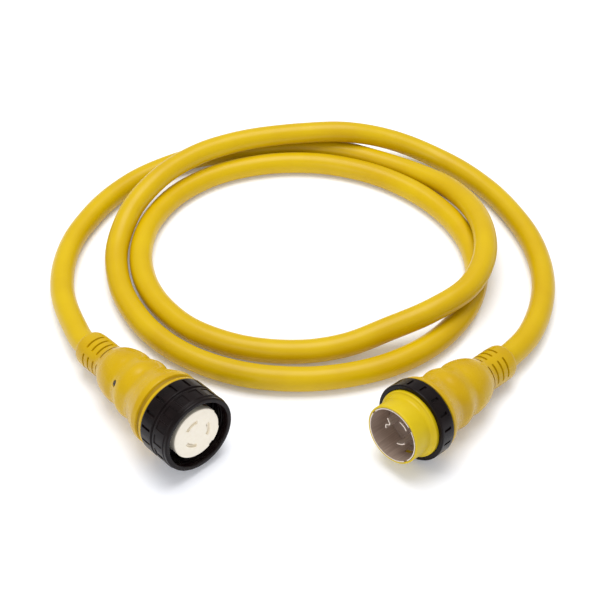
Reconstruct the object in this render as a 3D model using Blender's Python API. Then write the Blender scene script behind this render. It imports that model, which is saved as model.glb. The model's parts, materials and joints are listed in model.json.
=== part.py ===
"""Shore power cord: locking connector, locking plug and one loose coil of cable.

Metres, +Z up.  Each end is drawn along its own axis: s is the distance behind
its front plane, r the distance from its axis, theta is counted from straight up.
"""
import math

import bmesh
import bpy
from mathutils import Matrix, Vector

MM = 0.001
GAP = 0.3 * MM

# ---------------------------------------------------------------- cable
CORD_DIAMETER = 25.0 * MM
CORD_SIDES = 4
COIL_CENTRE = (11.8 * MM, 232.2 * MM)
TURN_STEP = 15.0
FIRST_TURN = 210.0
# one row for every 15 degrees of turn, going clockwise: radius and height in mm
ROUTE = [
    (270, 18.5), (269, 14), (263, 12.6), (251, 12.6), (238, 12.6), (222, 12.6),
    (205, 12.6), (192, 12.6), (188, 12.6), (186, 12.6), (184, 13), (187, 16),
    (192.5, 22), (194, 30), (194, 37.5), (194, 39.5), (189, 39.5), (175, 36),
    (160, 25), (155.5, 15.5), (156.5, 12.6), (161, 12.6), (167, 12.6), (173.5, 12.6),
    (178, 12.6), (181.5, 12.6), (183, 12.6), (182.5, 12.6), (179.5, 12.6), (174, 12.6),
    (167, 12.6), (161, 12.6), (157.5, 12.6), (156, 12.6), (157, 12.6), (160.5, 12.6),
    (166.5, 12.6), (174.5, 12.6), (183, 12.6), (189.5, 12.6), (192.5, 12.6), (193.5, 12.6),
    (193.5, 12.6), (193, 12.6), (194, 12.6), (197, 12.6), (201, 12.6), (204.5, 12.6),
    (206.5, 12.6), (208.5, 13), (209, 17), (203.5, 28.5), (195, 37), (189, 39.5),
    (184, 39.5), (181, 39), (183, 38.5), (192, 38), (211, 28), (229, 15),
    (237, 12.6), (244, 12.6), (253.5, 12.6), (261, 13), (264, 15),
]

# ---------------------------------------------------------------- where the ends lie
CONNECTOR_FRONT = (-86.3 * MM, -57.3 * MM)
CONNECTOR_HEADING = -47.4
CONNECTOR_TILT = 7.0
PLUG_FRONT = (87.5 * MM, -57.7 * MM)
PLUG_HEADING = -135.85
PLUG_TILT = 8.8
PLUG_REST_DROP = 1.5 * MM

# ---------------------------------------------------------------- radii, from the liner's bore outwards
SLIDE = 0.4 * MM
SHELL_BORE_R = 25.8 * MM
SHELL_WALL = 1.0 * MM
SHELL_R = SHELL_BORE_R + SHELL_WALL
SHROUD_BORE_R = SHELL_R + GAP
SHROUD_R = SHROUD_BORE_R + 1.8 * MM
SHOULDER_R = SHROUD_R + 4.4 * MM
PLUG_NECK_R = SHROUD_BORE_R + 3.4 * MM
PLUG_RING_R = SHOULDER_R + 4.9 * MM
FLANGE_R = SHOULDER_R + 4.3 * MM
RING_R = FLANGE_R + 0.7 * MM
RING_LIP_R = FLANGE_R - 0.2 * MM
RING_BORE_R = SHROUD_R + 4.4 * MM
RING_MOUTH_R = RING_BORE_R - 0.6 * MM
THREAD_HEIGHT = 1.3 * MM
INSERT_FLANGE_R = RING_BORE_R - 0.7 * MM
NECK_R = RING_BORE_R - 3.3 * MM
FACE_R = SHELL_BORE_R - 0.4 * MM
INSERT_TAIL_R = FACE_R - 1.4 * MM
HOLLOW_R = FACE_R - 3.4 * MM
BORE_R = CORD_DIAMETER / 2 + GAP

# ---------------------------------------------------------------- contacts and their wires
CONTACT_CIRCLE = 12.5 * MM
GROUND_CIRCLE = FACE_R - 7.9 * MM
SHELL_TAB_CIRCLE = SHELL_BORE_R - 7.8 * MM
BLADE_THICK = 1.6 * MM
BLADE_HALF = 22.0
BARREL_R = 4.6 * MM
BARREL_LENGTH = 14.5 * MM
BARREL_SOLID = 4.5 * MM
WIRE_R = 3.1 * MM
WIRE_SPREAD_R = 5.4 * MM
WIRE_SHARES = (0.0, 0.12, 0.35, 0.65, 0.85)

# ---------------------------------------------------------------- connector, along its axis
RING_FRONT_S = -0.8 * MM
RING_LENGTH = 37.0 * MM
RING_NOTCHES = 16
FACE_DEPTH = 2.2 * MM
SLOT_DEPTH = 3.5 * MM
WELL_DEPTH = 24.0 * MM
INSERT_FLANGE_THICK = 3.7 * MM
INSERT_TAIL = 12.3 * MM
GASKET_THICK = 1.5 * MM
SLOT_ANGLES = (18.0, 138.0, -102.0)
SLOT_HALF = 29.0
SLOT_WIDTH = 2.6 * MM
GROUND_ANGLE = -42.0
KEY_ANGLE = -72.0
GRIP_SET = 37.7 * MM
REST_SET = 20.2 * MM
INDICATOR_ANGLE = 52.0
INDICATOR_SET = 21.0 * MM
INDICATOR_AROUND = 3.5 * MM
INDICATOR_ALONG = 2.5 * MM
CONNECTOR_BRIDGE_ANGLE = 44.0

# ---------------------------------------------------------------- plug, along its axis
SHOULDER_S = 22.0 * MM
SHOULDER_WIDTH = 5.0 * MM
PLUG_RING_LENGTH = 16.3 * MM
WASHER_THICK = 1.4 * MM
FLOOR_S = 26.0 * MM
BASE_THICK = 14.0 * MM
BLADE_TIP_S = 6.5 * MM
BLADE_ANGLES = (95.0, -25.0, -145.0)
HOOK_REACH = 3.3 * MM
SHROUD_TAIL = 9.0 * MM
PLUG_GRIP_SET = 21.7 * MM
PLUG_REST_SET = 11.2 * MM
SHELL_TAB_ANGLE = 155.0
SHELL_NOTCHES = (66.0, -130.0, -40.0)
PLUG_BRIDGE_ANGLE = -10.0

# ---------------------------------------------------------------- grip and strain relief of both ends
# radius as a share of the way from the cable's bore to the flange, distance behind the waist in mm
GRIP = [
    (0.88, -9.5), (0.755, -4.5), (0.69, 0.5), (0.73, 7.5), (0.725, 13.0), (0.645, 20.5),
    (0.59, 27.0), (0.615, 34.5), (0.572, 43.5), (0.476, 52.0), (0.323, 60.0), (0.238, 67.0),
    (0.234, 96.0), (0.194, 100.3),
]
GRIP_END = 102.4 * MM
RELIEF_ROWS = (61.6, 69.6, 77.7, 85.8)
RELIEF_SLOT_WIDTH = 2.4 * MM
RELIEF_SLOT_R = BORE_R + 3.1 * MM
RELIEF_SLOT_HALF = 36.0
CABLE_SET = 56.0 * MM
CABLE_LEAD = (0.0, 21.0 * MM, 45.0 * MM)

for old in list(bpy.data.objects):
    bpy.data.objects.remove(old, do_unlink=True)


def material(name, colour, rough, metal=0.0):
    mat = bpy.data.materials.new(name)
    mat.use_nodes = True
    shader = mat.node_tree.nodes["Principled BSDF"]
    shader.inputs["Base Color"].default_value = (*colour, 1.0)
    shader.inputs["Roughness"].default_value = rough
    shader.inputs["Metallic"].default_value = metal
    return mat


def add_object(name, mesh, parent, mat=None):
    obj = bpy.data.objects.new(name, mesh)
    bpy.context.scene.collection.objects.link(obj)
    obj.parent = parent
    if mat is not None:
        mesh.materials.append(mat)
    return obj


def mesh_from(name, verts, faces):
    bm = bmesh.new()
    points = [bm.verts.new(v) for v in verts]
    for face in faces:
        bm.faces.new([points[i] for i in face])
    bmesh.ops.recalc_face_normals(bm, faces=bm.faces)
    mesh = bpy.data.meshes.new(name)
    bm.to_mesh(mesh)
    bm.free()
    return mesh


def polar(r, angle, s):
    a = math.radians(angle)
    return (r * math.cos(a), r * math.sin(a), -s)


def lathe(name, profile, steps=32):
    """Closed ring solid from a closed (r, s) outline that stays off the axis."""
    count = len(profile)
    verts = [polar(r, 360.0 * k / steps, s) for k in range(steps) for r, s in profile]
    faces = []
    for k in range(steps):
        here = k * count
        there = ((k + 1) % steps) * count
        for i in range(count):
            j = (i + 1) % count
            faces.append((here + i, here + j, there + j, there + i))
    return mesh_from(name, verts, faces)


def disc(name, profile, steps=32):
    """Solid of revolution from an open (r, s) outline, capped flat at both ends."""
    count = len(profile)
    verts = [polar(r, 360.0 * k / steps, s) for k in range(steps) for r, s in profile]
    faces = [tuple(k * count for k in range(steps)), tuple(k * count + count - 1 for k in range(steps))]
    for k in range(steps):
        here = k * count
        there = ((k + 1) % steps) * count
        for i in range(count - 1):
            faces.append((here + i, here + i + 1, there + i + 1, there + i))
    return mesh_from(name, verts, faces)


def sector_shapes(shapes):
    """Arc shaped blocks: (r0, r1, middle angle, half angle, s0, s1, steps) each."""
    verts, faces = [], []
    for r0, r1, middle, half, s0, s1, steps in shapes:
        base = len(verts)
        for k in range(steps + 1):
            a = middle - half + 2 * half * k / steps
            verts += [polar(r0, a, s0), polar(r1, a, s0), polar(r1, a, s1), polar(r0, a, s1)]
        last = base + 4 * steps
        faces += [(base, base + 1, base + 2, base + 3), (last, last + 1, last + 2, last + 3)]
        for k in range(steps):
            b = base + 4 * k
            for i in range(4):
                j = (i + 1) % 4
                faces.append((b + i, b + j, b + 4 + j, b + 4 + i))
    return verts, faces


def sectors(name, shapes):
    return mesh_from(name, *sector_shapes(shapes))


def round_bar(name, radius, angle, circle, s0, s1, steps=14):
    """Round bar along the axis, its middle at (circle, angle)."""
    cx, cy, _ = polar(circle, angle, 0.0)
    verts = []
    for s in (s0, s1):
        for k in range(steps):
            a = 2 * math.pi * k / steps
            verts.append((cx + radius * math.cos(a), cy + radius * math.sin(a), -s))
    faces = [tuple(range(steps)), tuple(range(steps, 2 * steps))]
    for k in range(steps):
        n = (k + 1) % steps
        faces.append((k, n, steps + n, steps + k))
    return mesh_from(name, verts, faces)


def oval_bar(name, half_long, half_wide, angle, s_mid, r0, r1, steps=16):
    """Oval bar pointing outwards at one angle, long way along the axis."""
    a = math.radians(angle)
    out = Vector((math.cos(a), math.sin(a), 0))
    side = Vector((-math.sin(a), math.cos(a), 0))
    verts = []
    for r in (r0, r1):
        for k in range(steps):
            b = 2 * math.pi * k / steps
            p = out * r + side * (half_wide * math.sin(b))
            verts.append((p.x, p.y, -s_mid + half_long * math.cos(b)))
    faces = [tuple(range(steps)), tuple(range(steps, 2 * steps))]
    for k in range(steps):
        n = (k + 1) % steps
        faces.append((k, n, steps + n, steps + k))
    return mesh_from(name, verts, faces)


def boolean(target, tool_mesh, operation):
    tool = add_object("tool_" + tool_mesh.name, tool_mesh, target.parent)
    tool.hide_render = True
    tool.display_type = "WIRE"
    mod = target.modifiers.new(operation.lower(), "BOOLEAN")
    mod.operation = operation
    mod.solver = "EXACT"
    mod.object = tool


def cut(target, tool_mesh):
    boolean(target, tool_mesh, "DIFFERENCE")


def join(target, tool_mesh):
    boolean(target, tool_mesh, "UNION")


def end_frame(name, front, heading, tilt, rest_s, rest_r):
    """Empty at the middle of an end's front plane: +Z points forwards, +X points up."""
    t = math.radians(tilt)
    height = rest_r * math.cos(t) + rest_s * math.sin(t)
    turn = Matrix.Rotation(math.radians(heading), 4, "Z") @ Matrix.Rotation(math.radians(90 - tilt), 4, "Y")
    turn = turn @ Matrix.Rotation(math.pi, 4, "Z")
    empty = bpy.data.objects.new(name, None)
    bpy.context.scene.collection.objects.link(empty)
    empty.matrix_world = Matrix.Translation((front[0], front[1], height)) @ turn
    return empty, empty.matrix_world.copy()


YELLOW = material("yellow moulded casing", (0.78, 0.52, 0.02), 0.42)
SLEEVE = material("yellow hard sleeve", (0.80, 0.55, 0.03), 0.35)
BLACK = material("black locking ring", (0.02, 0.015, 0.016), 0.45)
RUBBER = material("black seal rubber", (0.012, 0.012, 0.012), 0.8)
CREAM = material("cream contact block", (0.80, 0.76, 0.66), 0.5)
BRASS = material("brass contact", (0.70, 0.50, 0.22), 0.3, 1.0)
NICKEL = material("nickel plated brass", (0.62, 0.57, 0.54), 0.28, 1.0)
LENS = material("smoked indicator lens", (0.03, 0.02, 0.02), 0.15)
LAMP = material("indicator lamp", (0.75, 0.16, 0.05), 0.3)
DARK_BLOCK = material("dark contact block", (0.10, 0.08, 0.07), 0.5)
CABLE = material("yellow cable jacket", (0.78, 0.53, 0.02), 0.38)
WIRE_COLOURS = {
    "black": material("black insulation", (0.015, 0.015, 0.015), 0.5),
    "red": material("red insulation", (0.55, 0.02, 0.02), 0.5),
    "white": material("white insulation", (0.80, 0.80, 0.78), 0.5),
    "green": material("green insulation", (0.02, 0.28, 0.06), 0.5),
}

# lengths that follow from the ones above
flange_s = RING_LENGTH + GAP
waist_c = flange_s + GRIP_SET
rest_c = flange_s + REST_SET
insert_flange_back = WELL_DEPTH + INSERT_FLANGE_THICK
insert_back = insert_flange_back + INSERT_TAIL
ring_step_s = insert_flange_back + 0.5 * MM
plug_ring_s = SHOULDER_S + 3.0 * MM
plug_ring_back = plug_ring_s + PLUG_RING_LENGTH
washer_s = plug_ring_back + GAP
plug_flange_s = washer_s + WASHER_THICK + GAP
waist_p = plug_flange_s + PLUG_GRIP_SET
rest_p = plug_flange_s + PLUG_REST_SET
shroud_end = plug_flange_s + SHROUD_TAIL
shell_end = shroud_end - 2.0 * MM
base_back = FLOOR_S + BASE_THICK

connector, connector_matrix = end_frame(
    "connector_frame", CONNECTOR_FRONT, CONNECTOR_HEADING, CONNECTOR_TILT, rest_c, FLANGE_R)
plug, plug_matrix = end_frame(
    "plug_frame", PLUG_FRONT, PLUG_HEADING, PLUG_TILT, rest_p, FLANGE_R - PLUG_REST_DROP)


def grip_outline(waist_s):
    span = FLANGE_R - BORE_R
    return [(BORE_R + span * share, waist_s + q * MM) for share, q in GRIP]


def hollow_outline(waist_s):
    """Inside of a casing from the cable's end back to its widest part."""
    start = waist_s + CABLE_SET
    neck_r = (BORE_R + HOLLOW_R) / 2
    return [
        (BORE_R, waist_s + GRIP_END), (BORE_R, start + 2 * MM), (neck_r, start - 4 * MM),
        (HOLLOW_R, start - 15 * MM), (HOLLOW_R, waist_s + 23 * MM),
        (INSERT_TAIL_R + GAP, waist_s + 5 * MM),
    ]


def relief_slots(name, waist_s, bridge_angle):
    shapes = []
    for row in RELIEF_ROWS:
        s0 = waist_s + row * MM - RELIEF_SLOT_WIDTH / 2
        s1 = s0 + RELIEF_SLOT_WIDTH
        for quarter in range(4):
            middle = bridge_angle + 45 + 90 * quarter
            shapes.append((RELIEF_SLOT_R, HOLLOW_R + 2 * MM, middle, RELIEF_SLOT_HALF, s0, s1, 5))
    return sectors(name, shapes)


def contact_barrel(target, angle, circle, s0):
    """Solid barrel with a blind bore for the wire, open at the back."""
    back = s0 + BARREL_LENGTH
    join(target, round_bar(target.name + "_barrel", BARREL_R, angle, circle, s0, back))
    bore = round_bar(target.name + "_bore", WIRE_R + GAP, angle, circle, s0 + BARREL_SOLID, back + MM, 12)
    return bore


# ================================================================ connector
casing_s = insert_flange_back + GAP
cord_start_c = waist_c + CABLE_SET
indicator_s = waist_c + INDICATOR_SET
outline = [
    (NECK_R, casing_s), (NECK_R, flange_s), (FLANGE_R - 0.6 * MM, flange_s),
    (FLANGE_R, flange_s + 0.7 * MM), (FLANGE_R, flange_s + 3.5 * MM),
    (FLANGE_R - 1.8 * MM, flange_s + 4.2 * MM), (FLANGE_R - 1.8 * MM, flange_s + 7.2 * MM),
    (FLANGE_R, flange_s + 8.1 * MM), (FLANGE_R, rest_c), (FLANGE_R - 1.0 * MM, rest_c + 4 * MM),
]
outline += grip_outline(waist_c)
outline += hollow_outline(waist_c)
outline += [(INSERT_TAIL_R + GAP, casing_s)]
casing = add_object("connector_casing", lathe("connector_casing", outline), connector, YELLOW)
cut(casing, relief_slots("relief_slots_c", waist_c, CONNECTOR_BRIDGE_ANGLE))
cut(casing, oval_bar("indicator_hole", INDICATOR_ALONG, INDICATOR_AROUND, INDICATOR_ANGLE, indicator_s,
                     HOLLOW_R - 4 * MM, FLANGE_R))

insert = add_object("connector_insert", disc("connector_insert", [
    (FACE_R - 0.6 * MM, FACE_DEPTH), (FACE_R, FACE_DEPTH + 0.6 * MM), (FACE_R, WELL_DEPTH),
    (INSERT_FLANGE_R, WELL_DEPTH), (INSERT_FLANGE_R, insert_flange_back),
    (INSERT_TAIL_R, insert_flange_back), (INSERT_TAIL_R, insert_back)]), connector, CREAM)
pocket_s = FACE_DEPTH + SLOT_DEPTH
slot_shapes = []
pocket_shapes = []
for angle in SLOT_ANGLES:
    inner = CONTACT_CIRCLE - SLOT_WIDTH / 2
    slot_shapes.append((inner, inner + SLOT_WIDTH, angle, SLOT_HALF, 0.0, pocket_s + 0.5 * MM, 6))
    pocket_shapes.append((CONTACT_CIRCLE - 2.8 * MM, CONTACT_CIRCLE + 2.8 * MM, angle, SLOT_HALF + 2,
                          pocket_s, insert_back + MM, 6))
cut(insert, sectors("insert_slots", slot_shapes))
cut(insert, sectors("insert_pockets", pocket_shapes))
cut(insert, sectors("insert_side_notches", [
    (FACE_R - 3.4 * MM, FACE_R + MM, GROUND_ANGLE, 7.0, pocket_s, insert_back + MM, 3),
    (FACE_R - 1.5 * MM, FACE_R + MM, KEY_ANGLE, 5.0, 0.0, FACE_DEPTH + 5.5 * MM, 3),
]))

contact_s = pocket_s + GAP
contact_back = insert_back + 3 * MM
for name, angle in zip(("contact_line_1", "contact_line_2", "contact_neutral"), SLOT_ANGLES):
    sleeve = (CONTACT_CIRCLE - 2.5 * MM, CONTACT_CIRCLE + 2.5 * MM, angle, SLOT_HALF,
              contact_s, contact_back, 6)
    mouth = (CONTACT_CIRCLE - 1.1 * MM, CONTACT_CIRCLE + 1.1 * MM, angle, SLOT_HALF - 3,
             contact_s - MM, insert_flange_back + 2.3 * MM, 6)
    contact = add_object(name, sectors(name, [sleeve]), connector, BRASS)
    bore = contact_barrel(contact, angle, CONTACT_CIRCLE, contact_back - 0.5 * MM)
    cut(contact, sectors(name + "_mouth", [mouth]))
    cut(contact, bore)

leaf_r = FACE_R - 3.1 * MM
ground = add_object("contact_ground", sectors("contact_ground", [
    (leaf_r, leaf_r + 1.4 * MM, GROUND_ANGLE, 6.2, contact_s, contact_back, 2)]), connector, BRASS)
join(ground, sectors("ground_pad", [
    (leaf_r + 0.7 * MM, FACE_R + 0.1 * MM, GROUND_ANGLE, 5.8, contact_s + 2 * MM, contact_s + 10 * MM, 2)]))
join(ground, sectors("ground_tab", [
    (GROUND_CIRCLE - 3.5 * MM, leaf_r + 0.9 * MM, GROUND_ANGLE, 5.8, insert_back + 0.4 * MM,
     contact_back - 0.4 * MM, 2)]))
cut(ground, contact_barrel(ground, GROUND_ANGLE, GROUND_CIRCLE, contact_back - 1.8 * MM))

ring_outline = [
    (RING_MOUTH_R + 0.5 * MM, RING_FRONT_S), (RING_LIP_R - 0.8 * MM, RING_FRONT_S),
    (RING_LIP_R, RING_FRONT_S + 0.9 * MM), (RING_LIP_R, 2.6 * MM), (RING_R - 0.2 * MM, 3.4 * MM),
    (RING_R - 0.2 * MM, 18.6 * MM), (RING_R - 1.5 * MM, 19.3 * MM), (RING_R - 1.5 * MM, 20.7 * MM),
    (RING_R, 21.4 * MM), (RING_R, flange_s - 1.1 * MM), (RING_R - 0.8 * MM, flange_s - GAP),
    (NECK_R + SLIDE, flange_s - GAP), (NECK_R + SLIDE, ring_step_s), (RING_BORE_R, ring_step_s),
    (RING_BORE_R, WELL_DEPTH - 4 * MM),
]
thread_r = RING_BORE_R - THREAD_HEIGHT
for ridge in (14.0 * MM, 8.0 * MM):
    ring_outline += [(RING_BORE_R, ridge + 2.0 * MM), (thread_r, ridge + 1.2 * MM),
                     (thread_r, ridge + 0.4 * MM), (RING_BORE_R, ridge - 0.4 * MM)]
ring_outline += [(RING_BORE_R, 3.2 * MM), (RING_MOUTH_R, 2.6 * MM), (RING_MOUTH_R, RING_FRONT_S + 0.5 * MM)]
ring = add_object("connector_ring", lathe("connector_ring", ring_outline), connector, BLACK)
notches = []
panels = []
for step in range(RING_NOTCHES):
    middle = 360.0 * step / RING_NOTCHES
    notches.append((RING_R - 1.4 * MM, RING_R + MM, middle, 1.7, 23.2 * MM, flange_s - 3 * MM, 1))
    panels.append((RING_R - 0.9 * MM, RING_R + MM, middle + 5.5, 7.0, 5.0 * MM, 16.6 * MM, 2))
cut(ring, sectors("ring_notches", notches))
cut(ring, sectors("ring_panels", panels))

gasket_back = WELL_DEPTH - GAP
add_object("connector_gasket", lathe("connector_gasket", [
    (FACE_R + SLIDE, gasket_back - GASKET_THICK), (INSERT_FLANGE_R - 0.6 * MM, gasket_back - GASKET_THICK),
    (INSERT_FLANGE_R - 0.4 * MM, gasket_back - GASKET_THICK + 0.4 * MM),
    (INSERT_FLANGE_R - 0.4 * MM, gasket_back), (FACE_R + SLIDE, gasket_back)]), connector, RUBBER)
lens_foot = HOLLOW_R + 4.4 * MM
add_object("indicator_lens", oval_bar(
    "indicator_lens", INDICATOR_ALONG - GAP, INDICATOR_AROUND - GAP, INDICATOR_ANGLE, indicator_s,
    lens_foot, lens_foot + 3.2 * MM), connector, LENS)
add_object("indicator_lamp", oval_bar(
    "indicator_lamp", INDICATOR_ALONG - 0.8 * MM, INDICATOR_AROUND - MM, INDICATOR_ANGLE, indicator_s,
    lens_foot - 6 * MM, lens_foot - GAP), connector, LAMP)

# ================================================================ plug
cord_start_p = waist_p + CABLE_SET
outline = [
    (PLUG_NECK_R + GAP, plug_flange_s), (FLANGE_R - 1.3 * MM, plug_flange_s),
    (FLANGE_R - 0.7 * MM, plug_flange_s + 0.7 * MM), (FLANGE_R - PLUG_REST_DROP, rest_p),
]
outline += grip_outline(waist_p)
outline += hollow_outline(waist_p)
outline += [(INSERT_TAIL_R + GAP, shroud_end + GAP), (PLUG_NECK_R + GAP, shroud_end + GAP)]
casing = add_object("plug_casing", lathe("plug_casing", outline), plug, YELLOW)
cut(casing, relief_slots("relief_slots_p", waist_p, PLUG_BRIDGE_ANGLE))

shoulder_back = SHOULDER_S + SHOULDER_WIDTH
add_object("plug_shroud", lathe("plug_shroud", [
    (SHROUD_BORE_R, 0.0), (SHROUD_R - 0.5 * MM, 0.0), (SHROUD_R, 0.6 * MM),
    (SHROUD_R, SHOULDER_S - 2.4 * MM), (SHROUD_R + 0.9 * MM, SHOULDER_S - 1.4 * MM),
    (SHOULDER_R - 2.4 * MM, SHOULDER_S), (SHOULDER_R - 0.6 * MM, SHOULDER_S + 0.4 * MM),
    (SHOULDER_R, SHOULDER_S + 1.4 * MM), (SHOULDER_R, shoulder_back), (PLUG_NECK_R, shoulder_back),
    (PLUG_NECK_R, shroud_end), (SHROUD_BORE_R, shroud_end)]), plug, SLEEVE)

shell = add_object("plug_shell", lathe("plug_shell", [
    (SHELL_BORE_R, 0.2 * MM), (SHELL_R, 0.2 * MM), (SHELL_R, shell_end),
    (SHELL_BORE_R, shell_end)]), plug, NICKEL)
join(shell, sectors("shell_tab", [
    (SHELL_TAB_CIRCLE - 2 * MM, SHELL_BORE_R + SHELL_WALL / 2, SHELL_TAB_ANGLE, 9.0,
     shell_end - 2.5 * MM, shell_end - 0.4 * MM, 3)]))
shell_bore = contact_barrel(shell, SHELL_TAB_ANGLE, SHELL_TAB_CIRCLE, shell_end - 1.8 * MM)
cut(shell, shell_bore)
windows = [(SHELL_BORE_R - MM, SHELL_R + MM, angle, 5.0, -MM, 2.4 * MM, 2) for angle in SHELL_NOTCHES]
windows.append((SHELL_BORE_R - MM, SHELL_R + MM, -156.0, 9.0, 15.5 * MM, 20.5 * MM, 2))
cut(shell, sectors("shell_windows", windows))

base = add_object("plug_base", disc("plug_base", [
    (SHELL_BORE_R - GAP, FLOOR_S), (SHELL_BORE_R - GAP, base_back)]), plug, DARK_BLOCK)
half_slot = BLADE_THICK / 2 + GAP
cut(base, sectors("base_slots", [
    (CONTACT_CIRCLE - half_slot, CONTACT_CIRCLE + half_slot, angle, BLADE_HALF + 1.6,
     FLOOR_S - MM, base_back + MM, 5) for angle in BLADE_ANGLES]))
hook_angle = BLADE_ANGLES[0] - BLADE_HALF + 3.0
cut(base, sectors("base_hook", [
    (CONTACT_CIRCLE, CONTACT_CIRCLE + HOOK_REACH + 0.5 * MM, hook_angle, 5.2,
     FLOOR_S - MM, base_back + MM, 2)]))

blade_back = base_back + 3.5 * MM
for name, angle in zip(("blade_neutral", "blade_line_1", "blade_line_2"), BLADE_ANGLES):
    blade = add_object(name, sectors(name, [
        (CONTACT_CIRCLE - BLADE_THICK / 2, CONTACT_CIRCLE + BLADE_THICK / 2, angle, BLADE_HALF,
         BLADE_TIP_S, blade_back, 6)]), plug, NICKEL)
    if name == "blade_neutral":
        join(blade, sectors("neutral_hook", [
            (CONTACT_CIRCLE, CONTACT_CIRCLE + HOOK_REACH, hook_angle, 3.0,
             BLADE_TIP_S, base_back - MM, 2)]))
    cut(blade, contact_barrel(blade, angle, CONTACT_CIRCLE, blade_back - MM))

ring = add_object("plug_ring", lathe("plug_ring", [
    (SHOULDER_R + SLIDE, plug_ring_s), (PLUG_RING_R - 0.7 * MM, plug_ring_s),
    (PLUG_RING_R, plug_ring_s + 0.8 * MM), (PLUG_RING_R, plug_ring_back - 0.7 * MM),
    (PLUG_RING_R - 0.7 * MM, plug_ring_back), (PLUG_NECK_R + SLIDE, plug_ring_back),
    (PLUG_NECK_R + SLIDE, shoulder_back + SLIDE), (SHOULDER_R + SLIDE, shoulder_back + SLIDE)]),
    plug, BLACK)
cut(ring, sectors("plug_ring_notches", [
    (PLUG_RING_R - 1.3 * MM, PLUG_RING_R + MM, 360.0 * step / RING_NOTCHES, 1.7,
     plug_ring_s + 3.6 * MM, plug_ring_back - 4.3 * MM, 1) for step in range(RING_NOTCHES)]))
add_object("plug_washer", lathe("plug_washer", [
    (PLUG_NECK_R + SLIDE, washer_s), (FLANGE_R - 2 * MM, washer_s),
    (FLANGE_R - 2 * MM, washer_s + WASHER_THICK), (PLUG_NECK_R + SLIDE, washer_s + WASHER_THICK)]),
    plug, RUBBER)


# ================================================================ cable and its conductors
def tube(name, points, radius, sides, mat, matrix=None):
    curve = bpy.data.curves.new(name, "CURVE")
    curve.dimensions = "3D"
    curve.bevel_depth = radius
    curve.bevel_resolution = sides
    curve.use_fill_caps = True
    spline = curve.splines.new("POLY")
    spline.points.add(len(points) - 1)
    for point, co in zip(spline.points, points):
        point.co = (*co, 1.0)
    curve.materials.append(mat)
    obj = bpy.data.objects.new(name, curve)
    bpy.context.scene.collection.objects.link(obj)
    if matrix is not None:
        obj.matrix_world = matrix
    return obj


def wires(prefix, matrix, ends, cord_s):
    """Each conductor runs from the cable's end face into its barrel's bore."""
    start = cord_s - GAP
    for colour, (circle, angle, barrel_s, start_angle) in ends.items():
        bore_s = barrel_s + BARREL_SOLID
        mouth_s = bore_s + 13 * MM
        near = Vector(polar(WIRE_SPREAD_R, start_angle, 0.0))
        far = Vector(polar(circle, angle, 0.0))
        path = []
        for share in WIRE_SHARES:
            blend = 1.0 if share == WIRE_SHARES[-1] else share * share * (3 - 2 * share)
            spot = near.lerp(far, blend)
            path.append((spot.x, spot.y, -(start + (mouth_s - start) * share)))
        path.append(polar(circle, angle, bore_s + 0.5 * MM))
        tube(prefix + colour, path, WIRE_R, 2, WIRE_COLOURS[colour], matrix)


contact_barrel_s = contact_back - 0.5 * MM
wires("connector_wire_", connector_matrix, {
    "black": (CONTACT_CIRCLE, SLOT_ANGLES[0], contact_barrel_s, 30.0),
    "red": (CONTACT_CIRCLE, SLOT_ANGLES[1], contact_barrel_s, 120.0),
    "white": (CONTACT_CIRCLE, SLOT_ANGLES[2], contact_barrel_s, -150.0),
    "green": (GROUND_CIRCLE, GROUND_ANGLE, contact_back - 1.8 * MM, -60.0),
}, cord_start_c)
wires("plug_wire_", plug_matrix, {
    "white": (CONTACT_CIRCLE, BLADE_ANGLES[0], blade_back - MM, 80.0),
    "black": (CONTACT_CIRCLE, BLADE_ANGLES[1], blade_back - MM, -10.0),
    "red": (CONTACT_CIRCLE, BLADE_ANGLES[2], blade_back - MM, -100.0),
    "green": (SHELL_TAB_CIRCLE, SHELL_TAB_ANGLE, shell_end - 1.8 * MM, 170.0),
}, cord_start_p)


def on_axis(matrix, s):
    return matrix @ Vector((0.0, 0.0, -s))


path = [on_axis(connector_matrix, cord_start_c + lead) for lead in CABLE_LEAD]
for step, (radius, height) in enumerate(ROUTE):
    turn = math.radians(FIRST_TURN - TURN_STEP * step)
    x = COIL_CENTRE[0] + radius * MM * math.cos(turn)
    y = COIL_CENTRE[1] + radius * MM * math.sin(turn)
    path.append(Vector((x, y, height * MM)))
path += [on_axis(plug_matrix, cord_start_p + lead) for lead in reversed(CABLE_LEAD)]
tube("cord", path, CORD_DIAMETER / 2, CORD_SIDES, CABLE)
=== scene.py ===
# %% [markdown]
# # A shore power cord, lying in loose loops
# A shore power cord carries current from a dock or a camp pedestal to a boat or a caravan.
# Its thick yellow cable has a moulded plug on one end and a moulded connector on the other,
# and each end has a black locking ring that turns freely around it.
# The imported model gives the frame: where each end lies, which way it points, and what turns.
# This script adds the looks around that frame, and never moves it.

# %% Load the frame
import json
import math

import bpy
import numpy as np
from mathutils import Matrix, Vector


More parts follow.
